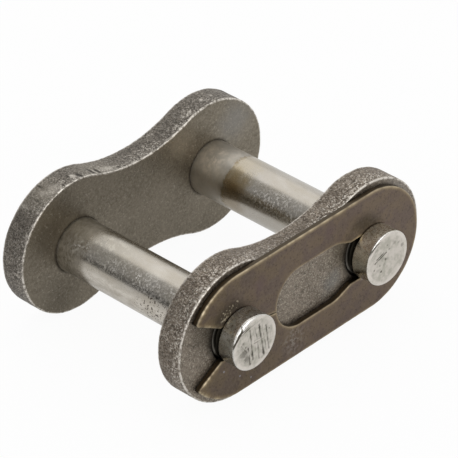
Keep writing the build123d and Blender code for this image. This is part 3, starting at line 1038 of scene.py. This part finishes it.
# On the rear plate the spot is painted shade, darker towards its bottom-left lobe.
rear_steel = plate_material(
    "tumbled_plate_steel", 6, REAR_Y[0], 0.1,
    ((0.16, 0.139, 0.105), (0.25, 0.22, 0.172), 4.5, 0.0, (-4.5, -7.0, 7.0), (0.035, 0.028, 0.018)),
    ((0.088, 0.077, 0.066), (0.28, 0.252, 0.214), 0.6))
left_steel = pin_material(
    "ground_pin_steel", 3, 0.0, (7.3, 10.3), (0.31, 0.28, 0.222), LEFT_RING_Y,
    (-2.75, 2.9, 2.0, -10.5, 10.8), (-1.0, 6.3, 3.8, 1.1), left_stains,
    # The last two: a pale colour that is also the painted highlight's, and the painted highlight spot.
    ((0.41, 0.405, 0.365), (0.62, 0.635, 0.61), (-3.4, -18.3, 2.3, 1.7)))
right_steel = pin_material(
    "ground_pin_steel_stained", 8, PITCH, (5.5, 8.4), (0.64, 0.585, 0.49), RIGHT_RING_Y,
    (-3.1, 2.55, 2.2, -7.0, 1.6), (PITCH - 1.9, 3.6, 3.5, 2.4), right_stains,
    # The last two: a pale colour that is also the painted highlight's, and the painted highlight spot.
    ((0.62, 0.595, 0.5), (0.85, 0.8, 0.7), (PITCH - 2.8, -18.3, 2.8, 2.4)))
plate("cover_side_plate", "cover_plate", COVER_Y, 11, HOLE_CHAMFER, 0.0, HOLE_R, COVER_KNOCKS,
      cover_steel, "cover")
plate("pin_side_plate", "pin_link_plate", REAR_Y, 47, 0.0, COUNTERSINK, PIN_R, REAR_KNOCKS,
      rear_steel, "pin_link")
pin("left_turned_pin", "left_pin", 0, 5, 1.6, 124, LEFT_SCRATCHES, LEFT_PITS, LEFT_DARK_SLIVER, left_steel)
pin("right_turned_pin", "right_pin", PITCH, 6, 0.1, 118, RIGHT_SCRATCHES, RIGHT_PITS, RIGHT_DARK_SLIVER, right_steel)
spring_clip(clip_material())


# -------- stage, light and camera

CENTRE = Vector((PITCH / 2 * MM, 0, 0))
FLOOR_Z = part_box("cover_plate")[0].z
FLOOR_HALF = 6.0                  # metres, as for the cards and the lamp
SKY_TURNS = (96, 110, 130, 150, 160, 168, 179)
SKY_LEVELS = (0.68, 0.55, 0.47, 0.42, 0.24, 0.13, 0.11)
SKY_ROWS = 30
SKY_LEAN, SKY_SPREAD = 0.586, 0.5
FRONT_CARD = (-38, 25)
FRONT_RISES = (12, 20, 30, 40, 48)
FRONT_LEVEL = 2.5


def card(name, rows):
    """A card seen only in reflections; each row is its left and right end and its strength."""
    mesh = bpy.data.meshes.new(name)
    points = [end for left, right, _ in rows for end in (left, right)]
    mesh.from_pydata(points, [], [(2 * k, 2 * k + 1, 2 * k + 3, 2 * k + 2) for k in range(len(rows) - 1)])
    glow = mesh.attributes.new("glow", "FLOAT", "POINT")
    glow.data.foreach_set("value", [strength for _, _, strength in rows for _ in range(2)])
    g = Graph(bpy.data.materials.new(name))
    lit = g.fill(g.make("ShaderNodeEmission"), {"Strength": g.mask("glow")})
    g.fill(g.make("ShaderNodeOutputMaterial"), {0: lit.outputs[0]})
    mesh.materials.append(g.owner)
    piece = in_scene(name, mesh)
    piece.location = CENTRE
    piece.visible_camera = piece.visible_diffuse = piece.visible_shadow = False


def sky_row(turn):
    """A row of the sky that both pins mirror at that turn round their axes."""
    t = radians(turn)
    rise = sqrt(1 - SKY_LEAN**2)
    middle = Vector((rise * cos(t), SKY_LEAN, rise * sin(t)))
    across = SKY_SPREAD * Vector((-sin(t), 0, cos(t))).cross(middle)
    return middle - across, middle + across, float(np.interp(turn, SKY_TURNS, SKY_LEVELS))


def front_row(rise):
    """A level row in front of the clip side."""
    e = radians(rise)
    turns = (radians(turn) for turn in FRONT_CARD)
    ends = [Vector((sin(a) * cos(e), -cos(a) * cos(e), sin(e))) for a in turns]
    return *ends, FRONT_LEVEL


def path_is(g, *kinds):
    """1 for rays of these kinds, else 0."""
    path = g.make("ShaderNodeLightPath")
    return g.most(*(path.outputs[kind] for kind in kinds))


def floor_material():
    """White table: nearly pure white to the camera, half that and half its lit self in reflections."""
    g = Graph(bpy.data.materials.new("white_sweep"))
    glow = g.make("ShaderNodeEmission")
    table = g.fill(g.make("ShaderNodeBsdfDiffuse"), {"Color": (0.9, 0.9, 0.9, 1)})
    seen = g.times(path_is(g, "Is Camera Ray"), 0.95)
    mirrored = g.times(path_is(g, "Is Glossy Ray", "Is Transmission Ray"), 0.5)
    parts = {0: g.math("ADD", mirrored, seen), 1: table.outputs[0], 2: glow.outputs[0]}
    mix = g.fill(g.make("ShaderNodeMixShader"), parts)
    g.fill(g.make("ShaderNodeOutputMaterial"), {0: mix.outputs[0]})
    return g.owner


floor_mesh = bpy.data.meshes.new("floor")
corners = [(FLOOR_HALF * x, FLOOR_HALF * y, 0) for x, y in ((-1, -1), (1, -1), (1, 1), (-1, 1))]
floor_mesh.from_pydata(corners, [], [(0, 1, 2, 3)])
floor_mesh.materials.append(floor_material())
floor = in_scene("floor", floor_mesh)
floor.location = (CENTRE.x, 0.0, FLOOR_Z)

world = bpy.data.worlds.new("studio")
scene.world = world
g = Graph(world)
level = g.blend(path_is(g, "Is Camera Ray", "Is Glossy Ray", "Is Transmission Ray"), 0.8, 1.0)
background = g.fill(g.make("ShaderNodeBackground"), {"Color": (1, 1, 1, 1), "Strength": level})
g.fill(g.make("ShaderNodeOutputWorld"), {0: background.outputs[0]})

lamp = bpy.data.lights.new("top_softbox", "AREA")
lamp.shape = "SQUARE"
lamp.size = 1.2
lamp.energy = 1.7
softbox = in_scene("top_softbox", lamp)
softbox.location = (0.45, 0.45, 0.85)
softbox.rotation_euler = (CENTRE - softbox.location).to_track_quat("-Z", "Y").to_euler()

card("sky_card", [sky_row(turn) for turn in np.linspace(SKY_TURNS[0], SKY_TURNS[-1], SKY_ROWS)])
card("front_card", [front_row(rise) for rise in FRONT_RISES])

# The camera stands where the photograph was taken from; lengths in millimetres again.
AIM = Vector((12.7, 1.927, 0))
TURN, RISE, ROLL = (radians(v) for v in (-44.974, 34.616, -1.645))
DISTANCE = 460.64
FOCAL_PX = 3431.6
IMAGE_PX = 458
AIM_PX = (201.287, 234.964)
SENSOR = 36.0

back = Vector((sin(TURN) * cos(RISE), -cos(TURN) * cos(RISE), sin(RISE)))
level_right = Vector((cos(TURN), sin(TURN), 0))
level_up = back.cross(level_right)
right = cos(ROLL) * level_right + sin(ROLL) * level_up
up = cos(ROLL) * level_up - sin(ROLL) * level_right
shift_x, shift_y = ((px - IMAGE_PX / 2) * DISTANCE / FOCAL_PX for px in AIM_PX)
eye = AIM + back * DISTANCE - right * shift_x + up * shift_y
view = bpy.data.cameras.new("camera")
view.sensor_width = SENSOR
view.lens = FOCAL_PX * SENSOR / IMAGE_PX
view.clip_start = 0.01
view.clip_end = 50
camera = in_scene("camera", view)
camera.matrix_world = Matrix.Translation(eye * MM) @ Matrix((right, up, back)).transposed().to_4x4()
scene.camera = camera

scene.view_settings.view_transform = "Standard"
